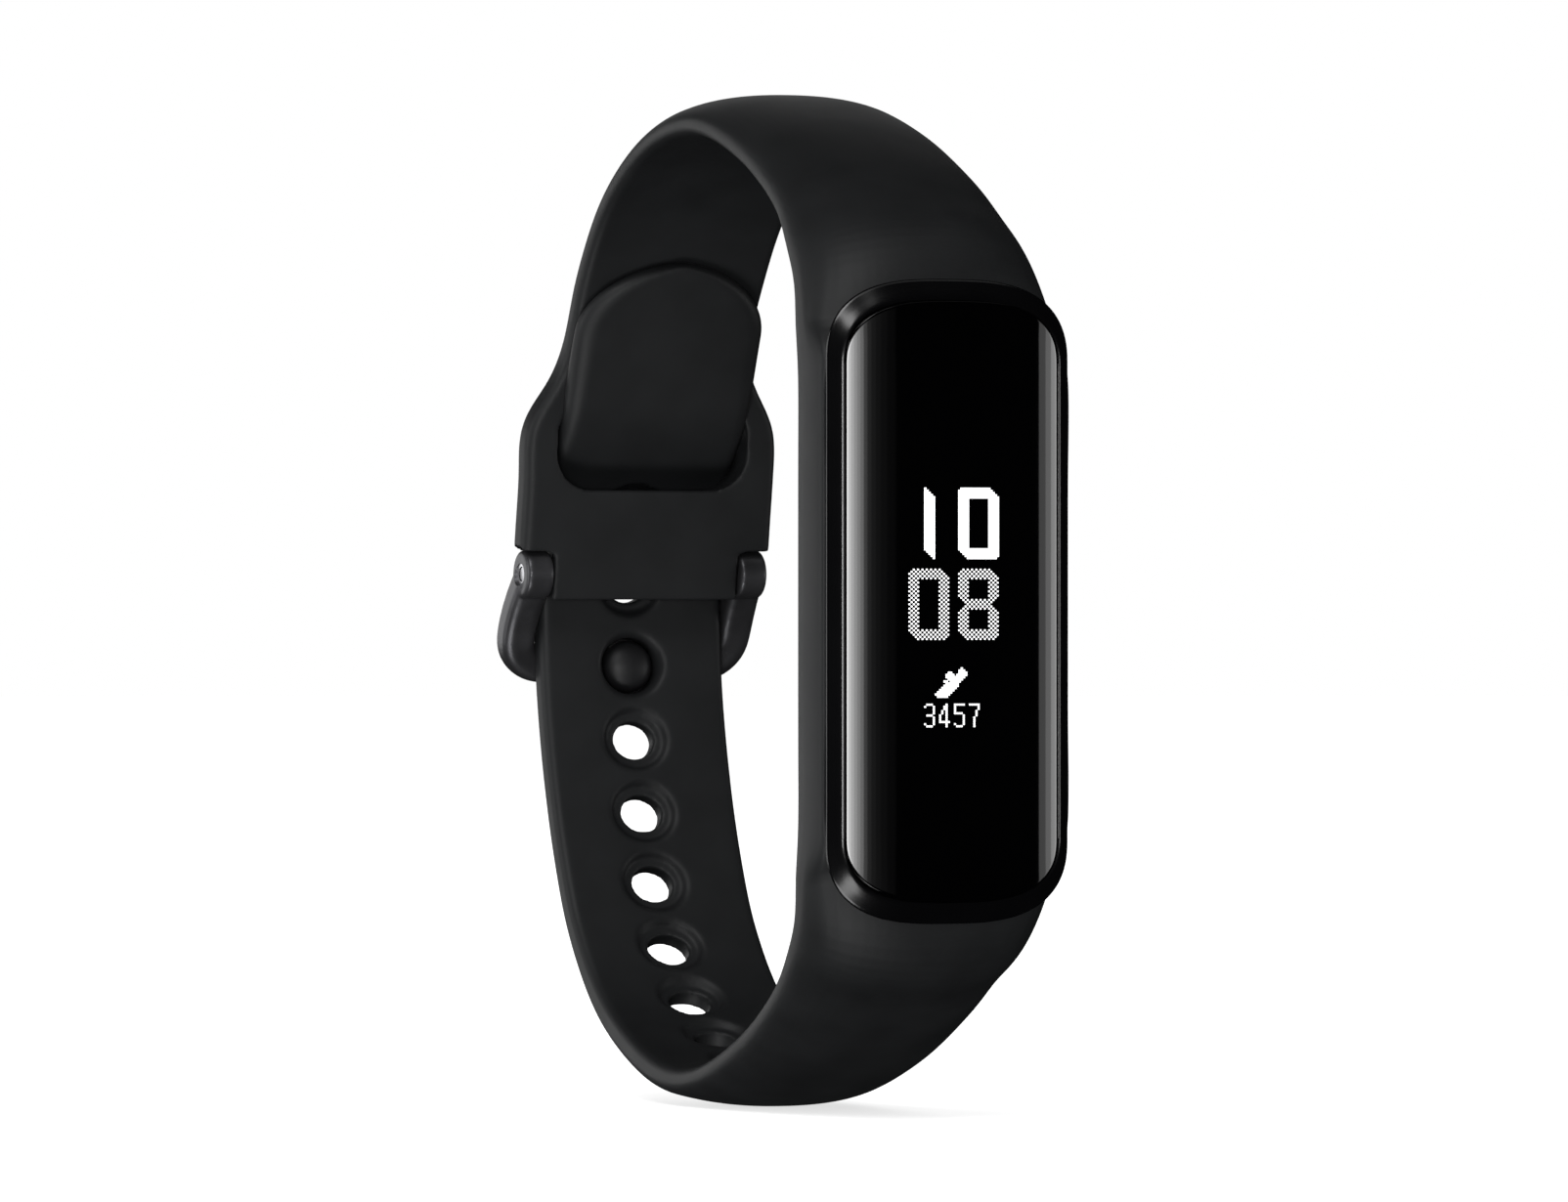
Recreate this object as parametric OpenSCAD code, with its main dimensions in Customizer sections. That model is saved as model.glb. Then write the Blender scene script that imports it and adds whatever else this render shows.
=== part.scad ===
// Fitness tracker band: one-piece strap, pull-out tracker, hinged peg buckle.
// X runs across the band, the display looks along -Y, the clasp sits at +Y,
// Z runs up along the tracker. The zero point is the centre of the wrist opening.

/* [Strap] */
// width of the adjusting tail
tail_width = 12.9; // [12.4:0.1:13]
// thickness of the adjusting tail
tail_thickness = 1.9; // [1.6:0.1:2]
// distance between two holes along the tail
hole_pitch = 5; // [4.8:0.1:5.4]
// width of each slightly oval tail hole
hole_w = 3.1; // [2.8:0.1:3.3]
// length of each slightly oval tail hole
hole_l = 2.7; // [2.5:0.1:3]
// how far the shallow ring stands out round each hole
recess_rim = 0.65; // [0.4:0.05:0.8]
// size of the hole that the peg stretches open
held_d = 4; // [3.9:0.1:4]
// depth of the shallow ring on each face
recess_depth = 0.4; // [0.2:0.1:0.6]
// number of tail holes
hole_count = 10; // [6:1:10]
// width of the window the tail is threaded through
window_w = 13.4; // [13.3:0.1:14]

/* [Tracker] */
// outer width of the gloss rim
bezel_w = 16.2; // [16:0.1:16.4]
// outer length of the gloss rim
bezel_h = 39.9; // [39.8:0.1:40.2]
// width of the cover glass
glass_w = 14.2; // [14:0.1:14.4]
// length of the cover glass
glass_h = 37.1; // [36.8:0.1:37.4]
// radius of the glass curve across its width
glass_r = 39; // [36:1:60]
// width of the tracker body inside the strap
body_w = 14.6; // [14.4:0.1:14.6]
// length of the tracker body inside the strap
body_h = 38.6; // [38.4:0.1:38.6]
// gap between tracker body and strap pocket on each side
pocket_gap = 0.1; // [0.06:0.02:0.14]

/* [Buckle] */
// overall width over both buckle arms
buckle_w = 17.2; // [17:0.1:17.4]
// radius of the round arm ends
knuckle_r = 1.6; // [1.4:0.05:1.65]
// radius of the peg that drops into a tail hole
peg_r = 1.7; // [1.6:0.05:1.7]

/* [Spring bar] */
// outer radius of the spring bar tube
tube_r = 0.75; // [0.7:0.01:0.76]
// radius of the spring bar tips
tip_r = 0.45; // [0.4:0.01:0.46]
// running gap round the tube and the tips
run_gap = 0.05; // [0.03:0.01:0.08]

/* [Hidden] */
$fn = 48;

// hinge axis of the buckle
ay = 22.8;
az = 1.8;
// levels of the tracker along Y, front to back
y_crown = -31;
y_rim = -30.35;
y_seat = -29.93;
y_flange = -29.45;
y_split = -26.5;
y_lip = -24.7;
steps = 3;

// strap stations: inner line y, z, width, edge thickness, crown,
// inner rounding across and deep, outer rounding across and deep
upper = [
    [21.95, 0.10, 17.65, 2.15, 0.00, 0.40, 0.50, 0.60, 0.60],
    [21.30, 4.00, 17.65, 2.45, 0.00, 0.60, 0.70, 0.90, 0.90],
    [20.60, 8.00, 17.65, 2.40, 0.05, 0.60, 0.70, 0.90, 0.90],
    [20.35, 11.4, 17.60, 2.35, 0.10, 0.60, 0.70, 0.90, 0.90],
    [19.90, 13.6, 14.90, 2.20, 0.20, 0.50, 0.60, 0.80, 0.80],
    [19.30, 16.0, 12.96, 1.95, 0.25, 0.50, 0.60, 0.80, 0.80],
    [16.61, 20.85, 13.03, 1.75, 0.30, 0.50, 0.60, 0.80, 0.80],
    [12.14, 25.59, 13.03, 1.70, 0.40, 0.50, 0.60, 0.80, 0.80],
    [5.25, 28.92, 13.09, 1.70, 0.60, 0.50, 0.60, 0.90, 0.90],
    [-2.82, 29.86, 13.21, 1.75, 0.90, 0.50, 0.60, 0.90, 0.90],
    [-10.99, 27.85, 13.38, 1.75, 1.30, 0.50, 0.60, 0.90, 0.90],
    [-17.91, 24.61, 14.03, 1.80, 1.80, 0.50, 0.60, 1.00, 1.00],
    [-21.04, 21.94, 14.94, 2.20, 2.20, 0.50, 0.70, 1.10, 1.20],
    [-23.1, 19.5, 15.70, 3.10, 2.40, 0.70, 1.00, 1.20, 1.60],
    [-23.8, 17.0, 16.65, 4.80, 0.90, 1.20, 1.80, 0.70, 2.20],
    [-24.0, 14.0, 17.05, 5.50, 0.00, 1.80, 2.90, 0.40, 2.50],
    [-24.0, 7.00, 17.05, 5.50, 0.00, 1.80, 2.90, 0.40, 2.50],
    [-24.0, 0.00, 17.05, 5.50, 0.00, 1.80, 2.90, 0.40, 2.50]];
lower = [
    [-24.0, 1.00, 17.05, 5.50, 0.00, 1.80, 2.90, 0.40, 2.50],
    [-24.0, -7.0, 17.05, 5.50, 0.00, 1.80, 2.90, 0.40, 2.50],
    [-24.0, -14., 17.05, 5.50, 0.00, 1.80, 2.90, 0.40, 2.50],
    [-23.8, -17., 16.65, 4.80, 0.90, 1.20, 1.80, 0.70, 2.20],
    [-23.1, -19.4, 15.60, 3.10, 2.40, 0.70, 1.00, 1.20, 1.60],
    [-20.81, -21.59, 14.54, 2.20, 2.20, 0.50, 0.70, 1.10, 1.20],
    [-17.49, -24.22, 13.78, 1.80, 1.80, 0.50, 0.60, 1.00, 1.00],
    [-10.90, -27.41, 13.21, 1.75, 1.30, 0.50, 0.60, 0.90, 0.90],
    [-2.40, -29.81, 12.94, 1.75, 0.85, 0.50, 0.60, 0.90, 0.90],
    [4.78, -29.38, tail_width, tail_thickness, 0.30, 0.50, 0.60, 0.80, 0.80],
    [12.69, -26.15, tail_width, tail_thickness, 0.00, 0.50, 0.60, 0.60, 0.60],
    [17.79, -21.49, tail_width, tail_thickness, 0.00, 0.50, 0.60, 0.60, 0.60],
    [20.50, -16.75, tail_width, tail_thickness, 0.00, 0.50, 0.60, 0.60, 0.60],
    [22.42, -11.67, tail_width, tail_thickness, 0.00, 0.50, 0.60, 0.60, 0.60],
    [23.71, -6.49, tail_width, tail_thickness, 0.00, 0.50, 0.60, 0.60, 0.60],
    [24.25, -2.00, tail_width, tail_thickness, 0.00, 0.50, 0.60, 0.60, 0.60],
    [24.30, 2.00, tail_width, tail_thickness, 0.00, 0.50, 0.60, 0.60, 0.60],
    [24.0, 5.40, tail_width, tail_thickness, 0.00, 0.50, 0.60, 0.60, 0.60],
    [22.9, 8.00, tail_width, tail_thickness, 0.00, 0.60, 0.70, 0.60, 0.60],
    [20.9, 10.0, tail_width, tail_thickness, 0.00, 0.80, 0.80, 0.60, 0.60],
    [19.1, 12.3, 13.00, 1.75, 0.00, 1.00, 0.90, 0.60, 0.50],
    [17.9, 15.0, 13.10, 1.55, 0.00, 1.20, 0.90, 0.50, 0.40],
    [16.9, 17.3, 12.95, 1.45, 0.00, 1.20, 0.90, 0.50, 0.40],
    [16.0, 19.2, 11.60, 1.35, 0.00, 1.20, 0.80, 0.50, 0.40],
    [15.4, 20.4, 8.80, 1.25, 0.00, 1.10, 0.70, 0.40, 0.35],
    [15.0, 21.2, 5.80, 1.15, 0.00, 0.90, 0.60, 0.40, 0.30],
    [14.75, 21.7, 3.00, 1.00, 0.00, 0.50, 0.45, 0.30, 0.25],
    [14.65, 21.95, 1.00, 0.80, 0.00, 0.20, 0.25, 0.20, 0.20]];

// smooth curve through four neighbouring values
function bend(a, b, c, d, t) = 0.5 * (2 * b + (c - a) * t + (2 * a - 5 * b + 4 * c - d) * t * t
    + (3 * b - a - 3 * c + d) * t * t * t);
function pick(st, i) = st[min(max(i, 0), len(st) - 1)];
function curve(st, n) = concat([for (i = [0 : len(st) - 2]) for (k = [0 : n - 1])
    [for (j = [0 : 8]) bend(pick(st, i - 1)[j], st[i][j], st[i + 1][j], pick(st, i + 2)[j], k / n)]],
    [st[len(st) - 1]]);
// outward direction in the Y-Z plane at ring i
function along(c, i) = let (a = pick(c, i - 1), b = pick(c, i + 1), l = norm([b[0] - a[0], b[1] - a[1]]))
    [(b[0] - a[0]) / l, (b[1] - a[1]) / l];
function outward(c, i) = let (t = along(c, i)) [t[1], -t[0]];
// half of the cross section, from the inner face to the outer crown
function half(s) = let (h = s[2] / 2, t = s[3], c = s[4], a = s[5], b = s[6], p = s[7], q = s[8])
    [[h - a, 0], [h - 0.29 * a, 0.29 * b], [h, b], [h, max(t - q, b + 0.05)],
    [h - 0.29 * p, t - 0.29 * q], [h - p, t + 0.02 * c],
    [(h - p) * 0.72, t + 0.6 * c], [(h - p) * 0.38, t + 0.92 * c]];
function section(s) = let (r = half(s)) concat(r, [[0, s[3] + s[4]]],
    [for (i = [7 : -1 : 0]) [-r[i][0], r[i][1]]]);
function ring(c, i) = let (n = outward(c, i)) [for (p = section(c[i]))
    [p[0], c[i][0] + n[0] * p[1], c[i][1] + n[1] * p[1]]];
// arc length up to each ring
function lengths(c, i = 0, s = 0) = i >= len(c) ? [] :
    concat([s], lengths(c, i + 1, i + 1 >= len(c) ? s :
    s + norm([c[i + 1][0] - c[i][0], c[i + 1][1] - c[i][1]])));

module swept(st) {
    c = curve(st, steps);
    m = 17;
    n = len(c);
    pts = [for (i = [0 : n - 1]) each ring(c, i)];
    sides = [for (i = [0 : n - 2]) for (j = [0 : m - 1])
        let (k = (j + 1) % m, a = i * m, b = (i + 1) * m)
        each [[a + j, b + j, b + k], [a + j, b + k, a + k]]];
    polyhedron(points = pts, faces = concat([[for (j = [0 : m - 1]) j]], sides,
        [[for (j = [m - 1 : -1 : 0]) (n - 1) * m + j]]), convexity = 8);
}

// flat shape in Y-Z pushed out along X
module push_x(x0, x1) {
    translate([x0, 0, 0]) rotate([90, 0, 90]) linear_extrude(x1 - x0) children();
}
// rounded rectangle, width along X, length along Z, between two Y levels
module slab(w, h, r, y0, y1, x = 0, z = 0) {
    translate([x, max(y0, y1), z]) rotate([90, 0, 0]) linear_extrude(abs(y1 - y0)) plate(w, h, r);
}
module plate(w, h, r) {
    square([w - 2 * r, h], center = true);
    square([w, h - 2 * r], center = true);
    for (sx = [-1, 1]) for (sz = [-1, 1])
        translate([sx * (w / 2 - r), sz * (h / 2 - r)]) circle(r);
}
module box(x0, x1, y0, y1, z0, z1) {
    translate([x0, y0, z0]) cube([x1 - x0, y1 - y0, z1 - z0]);
}
module rod_x(x0, x1, y, z, r) {
    translate([x0, y, z]) rotate([0, 90, 0]) cylinder(h = x1 - x0, r = r);
}
module rod_y(x, y0, y1, z, r) {
    translate([x, y1, z]) rotate([90, 0, 0]) cylinder(h = y1 - y0, r = r);
}

tail_curve = curve(lower, 12);
tail_len = lengths(tail_curve);
tail_y = [for (i = [0 : len(tail_curve) - 1]) [tail_len[i], tail_curve[i][0]]];
tail_z = [for (i = [0 : len(tail_curve) - 1]) [tail_len[i], tail_curve[i][1]]];
// arc length of the hole the peg sits in, at height -4.2 on the tail
peg_s = lookup(-4.2, [for (i = [14 * 12 : 16 * 12]) [tail_curve[i][1], tail_len[i]]]);
function tail_at(s) = [lookup(s, tail_y), lookup(s, tail_z)];
function tail_angle(s) = let (a = tail_at(s - 0.3), b = tail_at(s + 0.3)) atan2(b[1] - a[1], b[0] - a[0]);

// arc length of hole i; the one above the peg lies a little further on, where the pull on the tail ends
function hole_s(i) = peg_s + (2 - i) * hole_pitch + (i == 1 ? 0.35 : i == 0 ? -0.1 : 0);
module oval(w, l, y0, y1) {
    slab(w, l, min(w, l) / 2 - 0.01, y0, y1);
}

// puts children on the tail, +X of the child pointing out of the band
module on_tail(s) {
    translate([0, tail_at(s)[0], tail_at(s)[1]]) rotate([tail_angle(s) - 90, 0, 0]) children();
}

module strap() {
    color([0.1, 0.1, 0.11]) union() {
        // upper half: lug, shoulder, top, front
        difference() {
            swept(upper);
            // seat and pocket of the tracker
            slab(bezel_w + 0.2, bezel_h + 0.2, 4.7, -34, y_flange + 0.05);
            slab(body_w + 2 * pocket_gap, body_h + 2 * pocket_gap, 4.2, -34, y_lip);
            slab(13.2, 35, 3.9, -34, -20);
            // window for the tail
            translate([0, 0, 10.3]) slab(window_w, 5.9, 2.4, 15, 30);
            // room for the buckle arms
            for (s = [-1, 1]) {
                slab(8, 6.3, 0.8, 18, 28, s * 10.5, 0.15);
                rod_x(min(s * 6.5, s * 9), max(s * 6.5, s * 9), ay, az, knuckle_r + 0.25);
            }
            // bore of the spring bar
            rod_x(-9, 9, ay, az, tube_r + run_gap);
        }
        // lower half: front, bottom, tail, tongue
        difference() {
            swept(lower);
            slab(bezel_w + 0.2, bezel_h + 0.2, 4.7, -34, y_flange + 0.05);
            slab(body_w + 2 * pocket_gap, body_h + 2 * pocket_gap, 4.2, -34, y_lip);
            slab(13.2, 35, 3.9, -34, -20);
            for (i = [0 : hole_count - 1]) on_tail(hole_s(i)) {
                held = i == 2;
                w = held ? held_d + 0.15 : hole_w;
                l = held ? held_d : hole_l;
                oval(w, l, -1, 4);
                oval(w + (held ? 0.4 : 2 * recess_rim), l + (held ? 0.4 : 2 * recess_rim), -1, recess_depth);
                oval(w + (held ? 1 : 2 * recess_rim), l + (held ? 1.2 : 2 * recess_rim),
                    held ? 1.1 : tail_thickness - recess_depth, 4);
            }
        }
    }
}

module arm_shape() {
    translate([ay, az]) circle(knuckle_r);
    polygon([[24.3, 2.3], [24.75, 1.3], [25.6, 0], [26.3, -1.2], [26.75, -2.4], [27, -3.2], [27.5, -3.4],
        [27.5, -5.4], [26.05, -5.4], [26.05, -4.2], [25.2, -3.4], [24.6, -2.2], [23.6, -0.6], [22.6, 0.3],
        [21.6, 0.8]]);
}
module buckle_frame() {
    color([0.2, 0.2, 0.21]) difference() {
        intersection() {
            union() {
                push_x(-buckle_w / 2, -6.62) arm_shape();
                push_x(6.62, buckle_w / 2) arm_shape();
                push_x(-buckle_w / 2, buckle_w / 2)
                    polygon([[26.25, -3.2], [27, -3.2], [27.5, -3.4], [27.5, -5.4], [26.05, -5.4], [26.05, -4.6]]);
            }
            translate([0, 0, 2.4]) slab(buckle_w, 15.6, 3, 18, 30);
        }
        rod_x(-9, 9, ay, az, tip_r + run_gap);
        on_tail(peg_s) rod_y(0, 2.1, 3.1, 0, 0.8);
        // flat seat of the peg's flange
        on_tail(peg_s) rod_y(0, 1.5, 2.12, 0, peg_r + 0.3);
    }
}
module buckle_peg() {
    color([0.05, 0.05, 0.05]) on_tail(peg_s) rotate([-90, 0, 0]) rotate_extrude()
        polygon([[0, 0], [0.6, 0.05], [1, 0.17], [1.3, 0.38], [peg_r - 0.2, 0.65], [peg_r - 0.08, 0.95],
            [peg_r - 0.02, 1.25], [peg_r, 1.98], [peg_r + 0.3, 1.98], [peg_r + 0.3, 2.12],
            [0.8, 2.12], [0.8, 3], [0, 3]]);
}

module spring_bar_tube() {
    color([0.7, 0.7, 0.72]) difference() {
        rod_x(-6.35, 6.35, ay, az, tube_r);
        rod_x(-5.95, 5.95, ay, az, tube_r - 0.15);
        rod_x(-7, 7, ay, az, tip_r + run_gap);
    }
}
module tip(s) {
    color([0.8, 0.8, 0.82]) {
        rod_x(min(s * 4.5, s * 8.35), max(s * 4.5, s * 8.35), ay, az, tip_r);
        rod_x(min(s * 5.0, s * 5.9), max(s * 5.0, s * 5.9), ay, az, tube_r - 0.15 - run_gap);
    }
}
module spring_bar_tip_left() {
    tip(-1);
}
module spring_bar_tip_right() {
    tip(1);
}
module spring_bar_spring() {
    turns = 11;
    n = turns * 12;
    m = 6;
    wire = 0.07;
    pts = [for (i = [0 : n]) let (a = i * 30, x = -4.4 + 8.8 * i / n) for (j = [0 : m - 1])
        let (b = j * 60, r = 0.45 + wire * cos(b))
        [x + wire * sin(b), ay + r * cos(a), az + r * sin(a)]];
    sides = [for (i = [0 : n - 1]) for (j = [0 : m - 1]) let (k = (j + 1) % m, a = i * m, b = a + m)
        each [[a + j, b + k, b + j], [a + j, a + k, b + k]]];
    color([0.7, 0.7, 0.7]) polyhedron(points = pts, faces = concat([[for (j = [m - 1 : -1 : 0]) j]],
        sides, [[for (j = [0 : m - 1]) n * m + j]]), convexity = 12);
}

module front_bezel() {
    color([0.03, 0.03, 0.03]) difference() {
        union() {
            slab(bezel_w, bezel_h, 4.6, y_flange, y_seat);
            slab(bezel_w - 0.8, bezel_h - 1.6, 4.2, y_seat, y_rim);
            slab(body_w, body_h, 4.1, y_split - 0.02, y_flange);
        }
        slab(glass_w + 0.06, glass_h + 0.06, 3.73, y_seat, -32);
        slab(12.8, 35.4, 3.1, -29, -31);
        slab(body_w - 1.4, body_h - 1.4, 3.4, -29.2, y_split);
        rod_x(-9, -6, -28.4, -8, 0.3);
    }
}
module cover_glass() {
    color([0.05, 0.05, 0.06]) intersection() {
        slab(glass_w, glass_h, 3.7, y_seat - 0.01, -32);
        translate([0, y_crown + glass_r, -25]) cylinder(h = 50, r = glass_r, $fn = 720);
    }
}
module oled_panel() {
    color([0.02, 0.02, 0.03]) slab(12.4, 35, 2.9, -29.3, y_seat);
}
module display_flex() {
    color([0.7, 0.45, 0.15]) {
        box(-3, 3, -29.28, -29.15, -16.8, -15.2);
        box(-3, 3, -29.28, -27.6, -17.1, -16.8);
        box(-3, 3, -27.72, -27.6, -16.8, -14);
    }
}
module mid_frame() {
    color([0.3, 0.3, 0.32]) difference() {
        slab(12, 36, 3, -29.1, -28.5);
        slab(8, 12, 1, -30, -28, 0, 8);
        box(-3.4, 3.4, -30, -28, -19, -14.8);
        for (z = [-2.5, 16]) rod_y(4.6 * (z < 0 ? 1 : -1), -29.3, -28.3, z, 0.52);
    }
}
module main_board() {
    color([0.05, 0.25, 0.12]) difference() {
        slab(11.6, 34, 2.6, -28.45, -27.85);
        box(-3.4, 3.4, -29, -27, -19, -16.6);
        for (z = [-2.5, 16]) rod_y(4.6 * (z < 0 ? 1 : -1), -29.3, -27.3, z, 0.55);
    }
}
module board_screws() {
    color([0.75, 0.75, 0.77]) for (z = [-2.5, 16]) {
        rod_y(4.6 * (z < 0 ? 1 : -1), -29, -27.84, z, 0.5);
        rod_y(4.6 * (z < 0 ? 1 : -1), -27.84, -27.5, z, 0.85);
    }
}
module board_shield() {
    color([0.7, 0.7, 0.7]) difference() {
        slab(8.4, 8.4, 0.5, -27.84, -26.8, -0.2, -8);
        slab(8, 8, 0.4, -27.9, -26.95, -0.2, -8);
    }
}
module processor_chip() {
    color([0.06, 0.06, 0.06]) box(-3.4, 1.2, -27.84, -27.2, -11.5, -6.9);
}
module memory_chip() {
    color([0.07, 0.07, 0.07]) box(1.7, 3.5, -27.84, -27.2, -11.5, -8.5);
}
module radio_chip() {
    color([0.07, 0.07, 0.07]) box(-2.9, 0.3, -27.84, -27.2, -6.4, -4.4);
}
module accelerometer_chip() {
    color([0.08, 0.08, 0.08]) box(-4.9, -2.9, -27.84, -27.1, -2.8, -0.8);
}
module battery_cell() {
    color([0.6, 0.6, 0.62]) slab(9.2, 13.2, 0.8, -26.7, -23.3, 0, 6.4);
}
module battery_tape() {
    color([0.85, 0.7, 0.2]) slab(7.5, 12, 0.5, -27.84, -26.72, 0, 7);
}
module motor_case() {
    color([0.75, 0.75, 0.76]) difference() {
        rod_x(-4.6, 1.6, -24.7, -8.4, 1.7);
        rod_x(-4.2, 1.2, -24.7, -8.4, 1.5);
        rod_x(-5, 2, -24.7, -8.4, 0.34);
    }
}
module motor_rotor() {
    color([0.5, 0.5, 0.5]) {
        rod_x(-4.1, 3.9, -24.7, -8.4, 0.3);
        rod_x(-3.8, 0.8, -24.7, -8.4, 1.1);
        difference() {
            rod_x(1.9, 3.7, -24.7, -8.4, 1.5);
            box(1, 5, -27, -22, -8.2, -6);
        }
    }
}
module ppg_board() {
    color([0.05, 0.2, 0.12]) slab(7.6, 10.4, 1, -22.8, -22.4, 0, 0);
}
module ppg_photodiode() {
    color([0.1, 0.1, 0.14]) box(-1.2, 1.2, -22.39, -21.9, -1.2, 1.2);
}
module ppg_leds() {
    color([0.4, 0.9, 0.4]) for (z = [-3.2, 3.2])
        box(-0.7, 0.7, -22.39, -21.9, z - 0.5, z + 0.5);
}
module ppg_lens() {
    color([0.04, 0.04, 0.05]) intersection() {
        slab(6.6, 10.2, 2.8, -21.72, -20);
        translate([0, -20.1 - 28, 0]) sphere(28, $fn = 360);
    }
}
module charge_pins() {
    color([0.85, 0.7, 0.3]) for (x = [-2.7, 2.7]) {
        rod_y(x, -22.1, -20.95, -13, 0.95);
    }
}
module pogo_springs() {
    color([0.85, 0.7, 0.3]) for (x = [-2.7, 2.7]) {
        rod_y(x, -27.83, -22.12, -13, 0.45);
    }
}
module case_seal() {
    color([0.15, 0.15, 0.2]) difference() {
        slab(13.16, 37.16, 3.38, -27.5, -26.9);
        slab(12.84, 36.84, 3.22, -28, -26);
    }
}
module antenna() {
    color([0.8, 0.5, 0.2]) box(-4.5, 4.5, -28.44, -27.9, 17.15, 17.45);
}
module rear_cover() {
    color([0.08, 0.08, 0.08]) difference() {
        union() {
            slab(12.8, 36.8, 3.2, -28, y_split + 0.1);
            slab(body_w, body_h, 4.1, y_split + 0.02, y_lip - 0.05);
            slab(12.8, 34.6, 3.7, y_lip - 0.06, -23);
            slab(11, 30, 3.2, -23.1, -21);
        }
        slab(12, 36, 2.9, -30, -25.35);
        slab(11.4, 33.2, 3, -30, -23.7);
        slab(9.6, 28.6, 2.6, -30, -21.75);
        slab(6.7, 10.3, 2.85, -23, -20);
        for (x = [-2.7, 2.7]) rod_y(x, -23, -20, -13, 0.98);
    }
}

strap();
buckle_frame();
buckle_peg();
spring_bar_tube();
spring_bar_tip_left();
spring_bar_tip_right();
spring_bar_spring();
front_bezel();
cover_glass();
oled_panel();
display_flex();
mid_frame();
main_board();
board_screws();
board_shield();
processor_chip();
radio_chip();
memory_chip();
accelerometer_chip();
battery_cell();
battery_tape();
motor_case();
motor_rotor();
ppg_board();
ppg_photodiode();
ppg_leds();
ppg_lens();
charge_pins();
pogo_springs();
case_seal();
antenna();
rear_cover();
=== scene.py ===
"""Looks of the fitness tracker band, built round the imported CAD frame."""
import math

import bmesh
import bpy
import numpy as np
from mathutils import Matrix, Vector


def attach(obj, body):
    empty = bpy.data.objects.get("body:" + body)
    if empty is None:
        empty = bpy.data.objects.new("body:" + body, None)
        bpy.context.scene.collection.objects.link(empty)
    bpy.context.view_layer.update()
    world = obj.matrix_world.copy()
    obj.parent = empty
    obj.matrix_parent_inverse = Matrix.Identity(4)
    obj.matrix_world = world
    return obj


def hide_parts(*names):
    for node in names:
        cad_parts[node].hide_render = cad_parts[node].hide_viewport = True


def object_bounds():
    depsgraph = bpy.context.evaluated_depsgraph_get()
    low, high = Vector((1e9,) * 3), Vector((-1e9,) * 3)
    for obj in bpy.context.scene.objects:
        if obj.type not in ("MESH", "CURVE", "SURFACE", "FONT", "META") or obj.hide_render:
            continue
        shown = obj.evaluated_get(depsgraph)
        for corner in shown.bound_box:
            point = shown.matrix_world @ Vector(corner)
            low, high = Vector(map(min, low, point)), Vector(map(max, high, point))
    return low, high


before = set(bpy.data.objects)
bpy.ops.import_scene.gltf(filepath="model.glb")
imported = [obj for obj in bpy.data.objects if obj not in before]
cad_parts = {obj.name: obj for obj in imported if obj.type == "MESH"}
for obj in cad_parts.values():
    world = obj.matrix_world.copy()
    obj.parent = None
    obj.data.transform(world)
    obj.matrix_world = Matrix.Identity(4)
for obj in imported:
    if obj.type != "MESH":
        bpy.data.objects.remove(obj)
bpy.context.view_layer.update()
MM = 0.001

# ---------------------------------------------------------------- stations
# inner line y, z, width, edge thickness, crown, inner and outer rounding across and out (mm)
UPPER = [
    (21.95, 0.10, 17.65, 2.15, 0.00, 0.40, 0.50, 0.60, 0.60),
    (21.30, 4.00, 17.65, 2.45, 0.00, 0.60, 0.70, 0.90, 0.90),
    (20.60, 8.00, 17.65, 2.40, 0.05, 0.60, 0.70, 0.90, 0.90),
    (20.35, 11.4, 17.60, 2.35, 0.10, 0.60, 0.70, 0.90, 0.90),
    (19.90, 13.6, 14.90, 2.20, 0.20, 0.50, 0.60, 0.80, 0.80),
    (19.30, 16.0, 12.96, 1.95, 0.25, 0.50, 0.60, 0.80, 0.80),
    (16.61, 20.85, 13.03, 1.75, 0.30, 0.50, 0.60, 0.80, 0.80),
    (12.14, 25.59, 13.03, 1.70, 0.40, 0.50, 0.60, 0.80, 0.80),
    (5.25, 28.92, 13.09, 1.70, 0.60, 0.50, 0.60, 0.90, 0.90),
    (-2.82, 29.86, 13.21, 1.75, 0.90, 0.50, 0.60, 0.90, 0.90),
    (-10.99, 27.85, 13.38, 1.75, 1.30, 0.50, 0.60, 0.90, 0.90),
    (-17.91, 24.61, 14.03, 1.80, 1.80, 0.50, 0.60, 1.00, 1.00),
    (-21.04, 21.94, 14.94, 2.20, 2.20, 0.50, 0.70, 1.10, 1.20),
    (-23.1, 19.5, 15.70, 3.10, 2.40, 0.70, 1.00, 1.20, 1.60),
    (-23.8, 17.0, 16.65, 4.80, 0.90, 1.20, 1.80, 0.70, 2.20),
    (-24.0, 14.0, 17.05, 5.50, 0.00, 1.80, 2.90, 0.40, 2.50),
    (-24.0, 7.00, 17.05, 5.50, 0.00, 1.80, 2.90, 0.40, 2.50),
    (-24.0, -2.0, 17.05, 5.50, 0.00, 1.80, 2.90, 0.40, 2.50)]
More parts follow.
